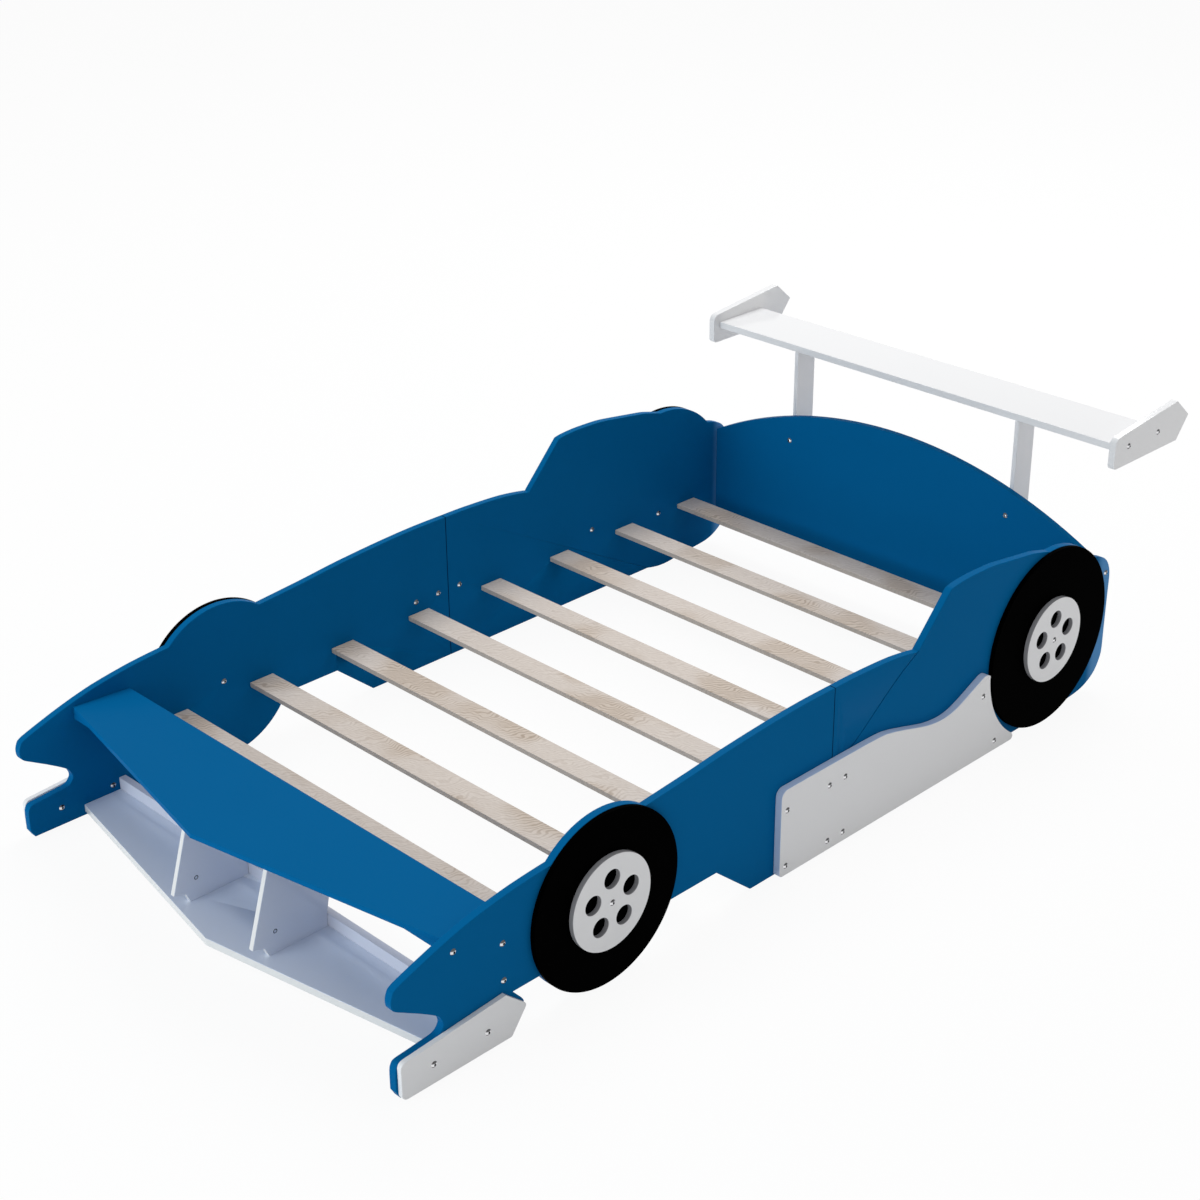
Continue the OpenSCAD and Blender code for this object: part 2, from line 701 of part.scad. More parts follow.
// Tyre: a plain disc on the outside of the panel
module tyre(axle, r) {
    color(black) difference() {
        pin_x([outer_x, axle[0], axle[1]], 2 * r, thin);
        pin_x([outer_x - over, axle[0], axle[1]], bolt_d + 2 * fit, thin + 2 * over);
        pin_x([outer_x - over, tyre_screw_point[0], tyre_screw_point[1]],
            screw_d + 2 * fit, inner_screw_l - board - thin * 0.25 + over + fit);
        wheel_pins(fit);
    }
}
module tyre_front_left() { tyre(front_axle, front_r); }
module tyre_front_right() { mirror([1, 0, 0]) tyre(front_axle, front_r); }
module tyre_rear_left() { tyre(rear_axle, rear_r); }
module tyre_rear_right() { mirror([1, 0, 0]) tyre(rear_axle, rear_r); }

// Hub: a smaller disc on the tyre, with a ring of holes
module hub(axle) {
    color(white) difference() {
        pin_x([hub_x, axle[0], axle[1]], hub_d, thin);
        pin_x([hub_x - over, axle[0], axle[1]], bolt_d + 2 * fit, thin + 2 * over);
        for (k = [0 : hub_holes - 1]) {
            p = axle + polar(hub_circle_d / 2, 90 + k * 360 / hub_holes);
            pin_x([hub_x - over, p[0], p[1]], hub_hole_d, thin + 2 * over);
        }
        wheel_pins(fit);
    }
}
module hub_front_left() { hub(front_axle); }
module hub_front_right() { mirror([1, 0, 0]) hub(front_axle); }
module hub_rear_left() { hub(rear_axle); }
module hub_rear_right() { mirror([1, 0, 0]) hub(rear_axle); }

// Wing board on its two posts
module wing_board() {
    color(white) difference() {
        translate([-wing_x, wing_front_y, wing_z]) cube([2 * wing_x, wing_d, board]);
        both_sides() {
            for (s = wing_bolt_shares) {
                y = wing_front_y + s * wing_d;
                pin_x([wing_x + board - end_bolt_l, y, wing_z + board / 2], bolt_d, end_bolt_l, fit);
                pin_z([wing_x - barrel_in, y, wing_z], barrel_d, barrel_l, fit);
            }
            post_dowels(fit);
        }
    }
}
module wing_post() {
    color(white) difference() {
        translate([post_x - thin / 2, head_back_y, post_foot_z])
            cube([thin, post_d, wing_z - post_foot_z]);
        pin_y([post_x, head_y, post_bolt_z], bolt_d, post_bolt_l, fit);
        pin_x([post_x - thin / 2, head_back_y + barrel_in, post_bolt_z], barrel_d, thin, fit);
        post_dowels(fit);
        post_head_dowel(fit);
    }
}
post_bolt_l = board + barrel_in + barrel_d;
module wing_post_left() { wing_post(); }
module wing_post_right() { mirror([1, 0, 0]) wing_post(); }
module wing_end() {
    at = wing_front_y - end_front;
    outline = placed(end_shares, at, end_front + end_back, end_h);
    color(white) difference() {
        translate([0, 0, wing_z - end_low]) side_plate(wing_x, board)
            polygon(rounded(outline, end_radii_share * end_h));
        for (s = wing_bolt_shares)
            pin_x([wing_x - over, wing_front_y + s * wing_d, wing_z + board / 2],
                bolt_d + 2 * fit, board + 2 * over);
    }
}
module wing_end_left() { wing_end(); }
module wing_end_right() { mirror([1, 0, 0]) wing_end(); }

// Slats between the side panels, each on two dowels at each end
function slat_y(k) = hood_rear_y + slat_start + k * slat_pitch;
module slat(k) {
    color(pine) difference() {
        translate([-inner_x, slat_y(k), slat_z - slat_t]) cube([inner_w, slat_w, slat_t]);
        both_sides() slat_pin_pair(k, fit);
    }
}
module slat_pin_pair(k, g = 0) {
    for (s = [-1, 1])
        pin_x([inner_x - dowel_in, slat_y(k) + slat_w * (1 + s * slat_dowel_share) / 2,
            slat_z - slat_t / 2], slim_dowel_d, dowel_in + dowel_seat, g);
}
module slat_pins(g = 0) {
    for (k = [0 : slat_count - 1]) slat_pin_pair(k, g);
}

// Wood dowels of the left side, and those across the middle
module head_dowels(g = 0) {
    for (s = head_dowel_shares)
        pin_x([inner_x - dowel_in, head_y + board / 2, head_bottom + s * (head_edge_h - head_bottom)],
            dowel_d, dowel_in + dowel_seat, g);
}
module shelf_dowels(g = 0) {
    for (s = shelf_dowel_shares)
        pin_x([inner_x - dowel_in, shelf_corner_y + s * shelf_side_l, shelf_gap + board / 2],
            dowel_d, dowel_in + dowel_seat, g);
}
module seam_dowels(g = 0) {
    for (s = seam_dowel_shares)
        pin_y([inner_x + board / 2, seam_y - dowel_seat, s * side_h], dowel_d, 2 * dowel_seat, g);
}
module wheel_pins(g = 0) {
    for (axle = [front_axle, rear_axle]) for (s = [-1, 1])
        pin_x([outer_x - dowel_seat, axle[0] + s * wheel_dowel_out, axle[1]],
            slim_dowel_d, dowel_seat + thin + thin / 2, g);
}
module post_dowels(g = 0) {
    for (s = [0.25, 0.75])
        pin_z([post_x, head_back_y + s * post_d, wing_z - dowel_in],
            slim_dowel_d, dowel_in + dowel_seat, g);
}
module post_head_dowel(g = 0) {
    pin_y([post_x, head_back_y - dowel_seat, post_bolt_z + post_d / 2],
        slim_dowel_d, dowel_seat + dowel_in, g);
}
module divider_dowel(g = 0) {
    pin_z([divider_x, lip_front_y - board, shelf_top_z - dowel_seat],
        slim_dowel_d, dowel_seat + dowel_in, g);
}
module lip_dowels(g = 0) {
    for (s = lip_dowel_shares)
        pin_z([s * inner_x, lip_front_y + board / 2, shelf_top_z - dowel_seat],
            dowel_d, dowel_seat + dowel_in, g);
}
module batten_dowels(g = 0) {
    for (s = batten_dowel_shares)
        pin_y([s * inner_x, head_back_y - dowel_seat, rear_batten_z], dowel_d, 2 * dowel_seat, g);
}
// Dowels between the hood, its batten and the cross board, in the hood's frame
module hood_dowels(g = 0) {
    for (s = hood_dowel_shares) for (y = [batten_y, -cross_board_in - board / 2])
        pin_z([s * inner_x, y, -thin - dowel_seat], slim_dowel_d, dowel_seat + thin / 2, g);
}

// Groups of like fasteners
module side_bolts() {
    color(steel) both_sides() {
        for (p = concat(front_bolt_points, [rear_bolt_point])) bolt_out(outer_x, p, end_bolt_l);
        in_hood_frame() bolt_out(outer_x, [batten_y, batten_z], end_bolt_l);
    }
}
module drilled_barrel(p) {
    difference() {
        barrel_nut(p);
        pin_x([p[0] - barrel_d, p[1], p[2]], bolt_d + 2 * fit, 2 * barrel_d);
    }
}
module side_barrel_nuts() {
    color(steel) both_sides() {
        for (p = concat(front_bolt_points, [rear_bolt_point]))
            drilled_barrel([inner_x - barrel_in, p[0], p[1]]);
        in_hood_frame() drilled_barrel([inner_x - barrel_in, batten_y, batten_z]);
    }
}
module bumper_bolts() {
    color(steel) both_sides() for (p = bumper_bolt_points)
        bolt_out(outer_x + thin, p, thin + insert_l);
}
module bumper_sleeve_nuts() {
    color(steel) both_sides() for (p = bumper_bolt_points) sleeve_nut(p);
}
module skirt_bolts() {
    color(steel) both_sides() for (p = skirt_points)
        bolt_out(outer_x + board, p, board + insert_l);
}
module skirt_inserts() {
    color(steel) both_sides() for (p = skirt_points) insert(outer_x - insert_l, p);
}
module inner_screws() {
    color(steel) both_sides() {
        for (p = inner_screw_points) bolt_in(inner_x, p, inner_screw_l, screw_d);
        bolt_in(inner_x, tyre_screw_point, inner_screw_l - thin * 0.25, screw_d);
    }
}
module wheel_bolts() {
    color(steel) both_sides() for (axle = [front_axle, rear_axle])
        bolt_out(hub_face_x, axle, 2 * thin + insert_l);
}
module wheel_sleeve_nuts() {
    color(steel) both_sides() sleeve_nut(front_axle);
}
module wheel_inserts() {
    color(steel) both_sides() insert(outer_x - insert_l, rear_axle);
}
module wheel_dowels() {
    color(beech) both_sides() wheel_pins();
}
module wing_bolts() {
    color(steel) both_sides() for (s = wing_bolt_shares)
        bolt_out(wing_x + board, [wing_front_y + s * wing_d, wing_z + board / 2], end_bolt_l);
}
module wing_barrel_nuts() {
    color(steel) both_sides() for (s = wing_bolt_shares) difference() {
        pin_z([wing_x - barrel_in, wing_front_y + s * wing_d, wing_z], barrel_d, barrel_l);
        pin_x([wing_x - barrel_in - barrel_d, wing_front_y + s * wing_d, wing_z + board / 2],
            bolt_d + 2 * fit, 2 * barrel_d);
    }
}
module post_bolts() {
    color(steel) both_sides() translate([post_x, head_y, post_bolt_z]) rotate([90, 0, 0])
        bolt(post_bolt_l);
}
module post_barrel_nuts() {
    color(steel) both_sides() difference() {
        pin_x([post_x - thin / 2, head_back_y + barrel_in, post_bolt_z], barrel_d, thin);
        pin_y([post_x, head_back_y, post_bolt_z], bolt_d + 2 * fit, 2 * barrel_in);
    }
}
module divider_bolts() {
    color(steel) both_sides() translate([divider_x, divider_bolt_y, shelf_gap]) rotate([180, 0, 0])
        bolt(divider_bolt_l);
}
module divider_barrel_nuts() {
    color(steel) both_sides() difference() {
        pin_x([divider_x - thin / 2, divider_bolt_y, divider_nut_z], barrel_d, thin);
        pin_z([divider_x, divider_bolt_y, divider_nut_z - barrel_d], bolt_d + 2 * fit, 2 * barrel_d);
    }
}
module slat_dowels() {
    color(beech) both_sides() slat_pins();
}
module board_dowels() {
    color(beech) {
        both_sides() {
            head_dowels();
            shelf_dowels();
            seam_dowels();
            post_dowels();
            post_head_dowel();
            divider_dowel();
        }
        lip_dowels();
        batten_dowels();
        in_hood_frame() hood_dowels();
    }
}

front_panel_left();
front_panel_right();
rear_panel_left();
rear_panel_right();
headboard();
rear_batten();
hood();
hood_batten();
cross_board();
shelf();
shelf_lip();
divider_left();
divider_right();
bumper_plate_left();
bumper_plate_right();
skirt_left();
skirt_right();
tyre_front_left();
tyre_front_right();
tyre_rear_left();
tyre_rear_right();
hub_front_left();
hub_front_right();
hub_rear_left();
hub_rear_right();
wing_board();
wing_post_left();
wing_post_right();
wing_end_left();
wing_end_right();
for (k = [0 : slat_count - 1]) slat(k);
side_bolts();
side_barrel_nuts();
bumper_bolts();
bumper_sleeve_nuts();
skirt_bolts();
skirt_inserts();
inner_screws();
wheel_bolts();
wheel_sleeve_nuts();
wheel_inserts();
wheel_dowels();
wing_bolts();
wing_barrel_nuts();
post_bolts();
post_barrel_nuts();
divider_bolts();
divider_barrel_nuts();
slat_dowels();
board_dowels();
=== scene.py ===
import bmesh
import bpy
import numpy as np
from mathutils import Matrix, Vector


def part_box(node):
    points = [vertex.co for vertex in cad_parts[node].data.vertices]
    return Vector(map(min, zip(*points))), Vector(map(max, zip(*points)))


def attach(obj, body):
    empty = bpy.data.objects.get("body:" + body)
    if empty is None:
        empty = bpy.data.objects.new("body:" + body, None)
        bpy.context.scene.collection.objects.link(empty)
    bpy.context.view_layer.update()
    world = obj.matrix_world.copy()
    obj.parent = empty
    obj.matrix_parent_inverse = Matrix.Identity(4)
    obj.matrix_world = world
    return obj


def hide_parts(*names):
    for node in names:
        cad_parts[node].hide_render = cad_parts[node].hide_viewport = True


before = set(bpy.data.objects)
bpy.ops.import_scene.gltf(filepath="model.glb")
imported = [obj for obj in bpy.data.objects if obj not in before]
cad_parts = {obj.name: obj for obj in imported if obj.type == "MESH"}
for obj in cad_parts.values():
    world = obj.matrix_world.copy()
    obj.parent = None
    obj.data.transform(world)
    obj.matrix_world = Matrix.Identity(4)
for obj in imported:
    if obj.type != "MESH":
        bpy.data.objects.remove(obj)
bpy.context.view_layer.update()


# Side panels, sawn from 18 mm MDF, two on each side with a butt joint between them. Their
# edges are eased with a 1.5 mm cutter before they are sprayed blue, all over and in the
# groove that marks the door. The tail, behind the rear wheel, is painted a lighter blue:
# painted light and reflection.
side_panels = ("front_panel_left", "front_panel_right", "rear_panel_left", "rear_panel_right")
panel_ease = 0.0015
blue = "#046198"
satin_roughness, satin_shine = 0.34, 0.006
joint_y, joint_half_width, joint_dark = -0.039, 0.0013, "#00264A"
tail_from_y, tail_to_y, tail_painted_light_blue, tail_painted_light_share = 0.93, 0.965, "#5B93C8", 0.9


def linear(hex_colour):
    """An sRGB hex colour as the linear RGBA that a shader takes: a straight line for the
    darkest tones, and a power of 2.4 for the rest."""
    c = np.array([int(hex_colour[i:i + 2], 16) for i in (1, 3, 5)]) / 255
    c = np.where(c <= 0.04045, c / 12.92, ((c + 0.055) / 1.055) ** 2.4)
    return (*c.tolist(), 1.0)


def add(owner, kind, settings=None, **inputs):
    """Adds a node to a material or the world, with its settings, and a link or a value for
    each input, which is named with _ for a space, or by its number after a _."""
    node = owner.node_tree.nodes.new(kind)
    for key, value in (settings or {}).items():
        setattr(node, key, value)
    for key, value in inputs.items():
        at = int(key[1:]) if key[1:].isdigit() else key.replace("_", " ")
        if isinstance(value, bpy.types.NodeSocket):
            owner.node_tree.links.new(value, node.inputs[at])
        else:
            node.inputs[at].default_value = value
    return node


def new_material(name):
    """A material with no nodes in it yet."""
    mat = bpy.data.materials.new(name)
    mat.use_nodes = True
    mat.node_tree.nodes.clear()
    return mat


def sprayed_lacquer(name, colour, roughness, shine, mottle=0.05, finish=None):
    """Lacquer sprayed on MDF. Its colour drifts by the share called mottle over half a metre,
    its roughness varies a little in specks 4.5 mm apart, and a faint orange peel, of bumps
    2.5 mm wide with dips as wide between them, breaks up the reflections. A finish, where one
    is given, changes the tone in places."""
    drift_mm, peel_mm, specks_per_m = 500, 2.5, 220
    smoother, rougher = 0.05, 0.06
    mat = new_material(name)
    place = add(mat, "ShaderNodeTexCoord").outputs["Object"]
    drift = add(mat, "ShaderNodeTexNoise", Vector=place, Scale=1000 / drift_mm, Detail=3.0)
    peel = add(mat, "ShaderNodeTexNoise", Vector=place, Scale=1000 / (2 * peel_mm), Detail=2.0)
    specks = add(mat, "ShaderNodeTexNoise", Vector=place, Scale=specks_per_m, Detail=4.0)
    base = np.array(linear(colour)[:3])
    tone = add(mat, "ShaderNodeMix", {"data_type": "RGBA"}, Factor=drift.outputs["Fac"],
               _6=(*(base * (1 - mottle)), 1.0),
               _7=(*np.minimum(base * (1 + mottle), 1), 1.0))
    if finish:
        tone = finish(mat, place, tone)
    rough = add(mat, "ShaderNodeMapRange", Value=specks.outputs["Fac"],
                _3=roughness - smoother, _4=roughness + rougher)
    bump = add(mat, "ShaderNodeBump", Strength=0.06, Distance=0.0003,
               Height=peel.outputs["Fac"])
    skin = add(mat, "ShaderNodeBsdfPrincipled", Base_Color=tone.outputs[2],
               Roughness=rough.outputs["Result"], IOR=1.5, Specular_IOR_Level=shine,
               Normal=bump.outputs["Normal"])
    add(mat, "ShaderNodeOutputMaterial", Surface=skin.outputs["BSDF"])
    return mat


def side_finish(mat, place, tone):
    """The side panels' tone along the bed: dark within the joint's half width, where the eased
    corners meet, and turning softly to a lighter blue behind the rear wheel, which is painted
    light and reflection on the tail."""
    along = add(mat, "ShaderNodeSeparateXYZ", Vector=place).outputs["Y"]
    # Painted light and reflection: behind the rear wheel the blue turns lighter.
    tail = add(mat, "ShaderNodeMapRange", {"interpolation_type": "SMOOTHSTEP"}, Value=along,
               _1=tail_from_y, _2=tail_to_y, _4=tail_painted_light_share)
    tone = add(mat, "ShaderNodeMix", {"data_type": "RGBA"}, Factor=tail.outputs["Result"],
               _6=tone.outputs[2], _7=linear(tail_painted_light_blue))
    joint = add(mat, "ShaderNodeMath", {"operation": "COMPARE"}, _0=along, _1=joint_y,
                _2=joint_half_width)
    return add(mat, "ShaderNodeMix", {"data_type": "RGBA"}, Factor=joint.outputs[0],
               _6=tone.outputs[2], _7=linear(joint_dark))


def eased(node, radius, material):
    """A board with its outer edges rounded over: a copy of the CAD mesh, its triangles merged
    into whole faces, and a bevel of the given radius along each edge that turns by 40 degrees
    or more, between faces wider than twice the radius. The rims of the bolt holes, whose edges
    are short, and the shallow walls of the groove stay sharp, as cut."""
    same_point, same_plane, shortest_edge = 1e-5, 0.01, 0.0008
    turn_eased, turn_sharp = np.radians(40), np.radians(30)
    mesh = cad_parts[node].data.copy()
    mesh.name = node + "_eased"
    bm = bmesh.new()
    bm.from_mesh(mesh)
    bmesh.ops.remove_doubles(bm, verts=bm.verts, dist=same_point)
    bmesh.ops.dissolve_limit(bm, angle_limit=same_plane, verts=bm.verts, edges=bm.edges)
    weight = bm.edges.layers.float.new("bevel_weight_edge")
    for edge in bm.edges:
        run = edge.calc_length()
        if not edge.is_manifold or run < shortest_edge or edge.calc_face_angle() < turn_eased:
            continue
        if min(face.calc_area() for face in edge.link_faces) / run > 2 * radius:
            edge[weight] = 1.0
    bm.to_mesh(mesh)
    bm.free()
    mesh.materials.clear()
    mesh.materials.append(material)
    board = bpy.data.objects.new(node + "_eased", mesh)
    bpy.context.scene.collection.objects.link(board)
    mesh.shade_smooth()
    mesh.set_sharp_from_angle(angle=turn_sharp)
    bevel = board.modifiers.new("ease", "BEVEL")
    bevel.width = radius
    bevel.segments = 2
    bevel.limit_method = "WEIGHT"
    bevel.use_clamp_overlap = False
    bevel.harden_normals = True
    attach(board, "root")
    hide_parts(node)


# Satin lacquer is rough enough to give the eye a broad soft sheen and no mirror image.
side_lacquer = sprayed_lacquer("blue satin lacquer on the side panels", blue, satin_roughness,
                               satin_shine, finish=side_finish)
for name in side_panels:
    eased(name, panel_ease, side_lacquer)


# Headboard with the batten behind it, hood with its batten, and the cross board under the
# hood. They are 18 and 12 mm MDF in the same blue lacquer, and they are bolted and dowelled
# between the side panels.
blue_lacquer = sprayed_lacquer("blue satin lacquer on MDF", blue, satin_roughness, satin_shine)
for name in ("headboard", "rear_batten", "hood", "hood_batten", "cross_board"):
    eased(name, panel_ease, blue_lacquer)


# Toy shelf under the hood, with a lip along its front and two dividers, in MDF with a white
# lacquer. The shelf's and the dividers' faces are painted a cool blue-white, painted shade
# for the blue light under the hood, and their sawn edges that look along the bed are left a
# plainer white. The lip is painted a shade darker and bluer, as painted shade.
shelf_white_painted_blue_shade, edge_white, lip_white_painted_shade = "#E6ECF9", "#E9E8E6", "#D8DAE6"
shelf_roughness, white_shine, white_mottle = 0.10, 0.4, 0.01


def facing(axis, none_at, full_at, edge_tone):
    """A finish for sawn edges, used here for painted light and shade. It reads how squarely
    the surface looks along an axis of the bed, from 0 to 1, and turns the tone to the edges'
    own between two of those values."""
    def finish(mat, place, tone):
        normal = add(mat, "ShaderNodeTexCoord").outputs["Normal"]
        part = add(mat, "ShaderNodeSeparateXYZ", Vector=normal).outputs[axis]
        square = add(mat, "ShaderNodeMath", {"operation": "ABSOLUTE"}, _0=part)
        edge = add(mat, "ShaderNodeMapRange", {"interpolation_type": "SMOOTHSTEP"},
                   Value=square.outputs[0], _1=none_at, _2=full_at)
        return add(mat, "ShaderNodeMix", {"data_type": "RGBA"}, Factor=edge.outputs["Result"],
                   _6=tone.outputs[2], _7=linear(edge_tone))
    return finish


# Gloss lacquer is smoother, and shows what lies near it as a soft mirror image.
shelf_lacquer = sprayed_lacquer(
    "white gloss lacquer on the shelf with painted blue shade", shelf_white_painted_blue_shade, shelf_roughness, white_shine,
    white_mottle, facing("Y", none_at=0.6, full_at=0.9, edge_tone=edge_white))
lip_lacquer = sprayed_lacquer("white gloss lacquer on the lip with painted shade", lip_white_painted_shade,
                              shelf_roughness, white_shine, white_mottle)
for name, lacquer in (("shelf", shelf_lacquer), ("shelf_lip", lip_lacquer),
                      ("divider_left", shelf_lacquer), ("divider_right", shelf_lacquer)):
    eased(name, panel_ease, lacquer)


# Bumper plates, 12 mm, and side skirts, 18 mm, bolted flat on the side panels' outer faces.
# Both are MDF in a neutral white gloss lacquer. The skirts' sawn edges, which look up and
# along the bed, are painted a cool blue: painted light for the blue that the panel beside
# them throws on them.
white, white_roughness, skirt_edge_painted_blue_light = "#EAEAEB", 0.12, "#D6E6FF"
white_lacquer = sprayed_lacquer("white gloss lacquer on MDF", white, white_roughness,
                                white_shine, white_mottle)
skirt_lacquer = sprayed_lacquer(
    "white gloss lacquer on the skirts", white, white_roughness, white_shine,
    white_mottle, facing("X", none_at=0.95, full_at=0.5, edge_tone=skirt_edge_painted_blue_light))
for name, lacquer in (("bumper_plate_left", white_lacquer), ("skirt_left", skirt_lacquer),
                      ("bumper_plate_right", white_lacquer), ("skirt_right", skirt_lacquer)):
    eased(name, panel_ease, lacquer)


# Wheels: a disc of 12 mm MDF in a flat black lacquer, which hardly shines at all, with a
# smaller white disc on it. The hub disc has five holes round the wheel's bolt, which clamps
# both discs to the side panel. The hub's rim and the walls of its holes are painted
# greyer, as painted shade.
black, hub_edge_painted_shade = "#010101", "#A4A4A8"
black_roughness, black_shine, black_mottle = 0.6, 0.002, 0.1
black_lacquer = sprayed_lacquer("black lacquer on MDF", black, black_roughness, black_shine,
                                black_mottle)
hub_lacquer = sprayed_lacquer(
    "white gloss lacquer on the hubs", white, white_roughness, white_shine,
    white_mottle, facing("X", none_at=0.95, full_at=0.5, edge_tone=hub_edge_painted_shade))
for corner in ("front_left", "front_right", "rear_left", "rear_right"):
    eased("tyre_" + corner, panel_ease, black_lacquer)
    eased("hub_" + corner, panel_ease, hub_lacquer)


# Rear wing: a white board between two pointed end plates, on two posts that are bolted to
# the batten behind the headboard. It is MDF in the bumper plates' gloss lacquer, so its top
# shows a soft mirror image of the end plates.
for name in ("wing_board", "wing_post_left", "wing_post_right", "wing_end_left",
             "wing_end_right"):
    eased(name, panel_ease, white_lacquer)


# Slats of planed raw pine, 66 x 12 mm, laid across the bed on hidden dowels. Each one is a
# plank of its own, so the growth rings differ. Planing leaves the wood matt, with fine
# streaks along it and a flame where a ring is cut flat, and the sawn sides are plainer.
slat_count = 8
slat_ease = 0.001
pine_light, pine_dark, pine_flame, pine_side = "#E6DCD3", "#9E8A77", "#D9CBBD", "#B5AAA0"
ring_mm, ring_tilt, flame_mm, flames_across_per_m = 9.0, 0.6, 220, 6.0


def planed_pine(name, light, dark, flame, sawn_side, seed):
    """Wood sawn flat: thin brown ring lines that wander across the plank, over fine fibres
    along it. A line is where a wave of the place, bent by slow noise, comes near its crest.
    The lines are strong in patches where a ring is cut flat, and faint between them. The
    seed moves the pattern, and the long sides, which look along Y, turn to their own tone."""
    ring_step, flame_step = np.array((0.61, 0.23, 0.37)), np.array((1.7, 0.9, 0.0))
    late_from, late_to = 0.50, 0.95
    patch_from, patch_to = 0.47, 0.66
    faint_line, strong_line = 0.16, 0.5
    fibres_per_m, fibre_share = (90.0, 300.0, 300.0), 0.4
    side_from, side_to, side_share = 0.6, 0.9, 0.75
    mat = new_material(name)
    coords = add(mat, "ShaderNodeTexCoord")
    place = coords.outputs["Object"]
    plank = add(mat, "ShaderNodeMapping", {"vector_type": "POINT"}, Vector=place,
                Location=ring_step * seed, Rotation=(0, 0, ring_tilt))
    # A wave texture turns by 20 radians in each unit of its scale.
    rings = add(mat, "ShaderNodeTexWave", {"wave_type": "BANDS", "bands_direction": "X"},
                Vector=plank.outputs[0], Scale=2 * np.pi / 20 / (ring_mm / 1000),
                Distortion=30.0, Detail=2.0, Detail_Scale=0.4, Detail_Roughness=0.5)
    late = add(mat, "ShaderNodeMapRange", {"interpolation_type": "SMOOTHSTEP"},
               Value=rings.outputs["Fac"], _1=late_from, _2=late_to)
    slow = add(mat, "ShaderNodeMapping", Vector=place, Location=flame_step * seed,
               Scale=(1000 / flame_mm, flames_across_per_m, flames_across_per_m))
    patch = add(mat, "ShaderNodeTexNoise", Vector=slow.outputs[0], Scale=1.0, Detail=1.0)
    patch = add(mat, "ShaderNodeMapRange", {"interpolation_type": "SMOOTHSTEP"},
                Value=patch.outputs["Fac"], _1=patch_from, _2=patch_to)
    depth = add(mat, "ShaderNodeMapRange", Value=patch.outputs["Result"], _3=faint_line,
                _4=strong_line)
    line = add(mat, "ShaderNodeMath", {"operation": "MULTIPLY"}, _0=late.outputs["Result"],
               _1=depth.outputs["Result"])
    # Real fibres are finer: these are 11 mm long and 3 mm wide, so that they show.
    fibre_at = add(mat, "ShaderNodeMapping", Vector=place, Scale=fibres_per_m)
    fibre = add(mat, "ShaderNodeTexNoise", Vector=fibre_at.outputs[0], Scale=1.0, Detail=3.0)
    streak = add(mat, "ShaderNodeMath", {"operation": "MULTIPLY_ADD"},
                 _0=fibre.outputs["Fac"], _1=fibre_share, _2=line.outputs[0])
    flamed = add(mat, "ShaderNodeMix", {"data_type": "RGBA"}, Factor=patch.outputs["Result"],
                 _6=linear(light), _7=linear(flame))
    tone = add(mat, "ShaderNodeMix", {"data_type": "RGBA"}, Factor=streak.outputs[0],
               _6=flamed.outputs[2], _7=linear(dark))
    across = add(mat, "ShaderNodeSeparateXYZ", Vector=coords.outputs["Normal"]).outputs["Y"]
    side = add(mat, "ShaderNodeMath", {"operation": "ABSOLUTE"}, _0=across)
    sawn = add(mat, "ShaderNodeMapRange", Value=side.outputs[0], _1=side_from, _2=side_to,
               _4=side_share)
    tone = add(mat, "ShaderNodeMix", {"data_type": "RGBA"}, Factor=sawn.outputs["Result"],
               _6=tone.outputs[2], _7=linear(sawn_side))
    bump = add(mat, "ShaderNodeBump", Strength=0.25, Distance=0.0004,
               Height=streak.outputs[0])
    wood = add(mat, "ShaderNodeBsdfPrincipled", Base_Color=tone.outputs[2], Roughness=0.62,
               IOR=1.5, Specular_IOR_Level=0.3, Normal=bump.outputs["Normal"])
    add(mat, "ShaderNodeOutputMaterial", Surface=wood.outputs["BSDF"])
    return mat


for k in range(1, slat_count + 1):
    pine = planed_pine("planed pine, slat " + str(k), pine_light, pine_dark, pine_flame,
                       pine_side, k)
    eased("slat_" + str(k), slat_ease, pine)


# Bolts with button heads 14 mm wide and a hexagon socket, and the nuts, inserts and screws
# that go with them. They are steel, plated with bright zinc. A painted reflection gives a
# light band round the head, dark above and below it, and painted shade darkens the socket.
zinc_dull, zinc_bright, painted_dark_shade_and_reflection, nut_rim_painted_shade = "#D5D6D9", "#F0F0F2", "#0C0C0E", "#26262A"


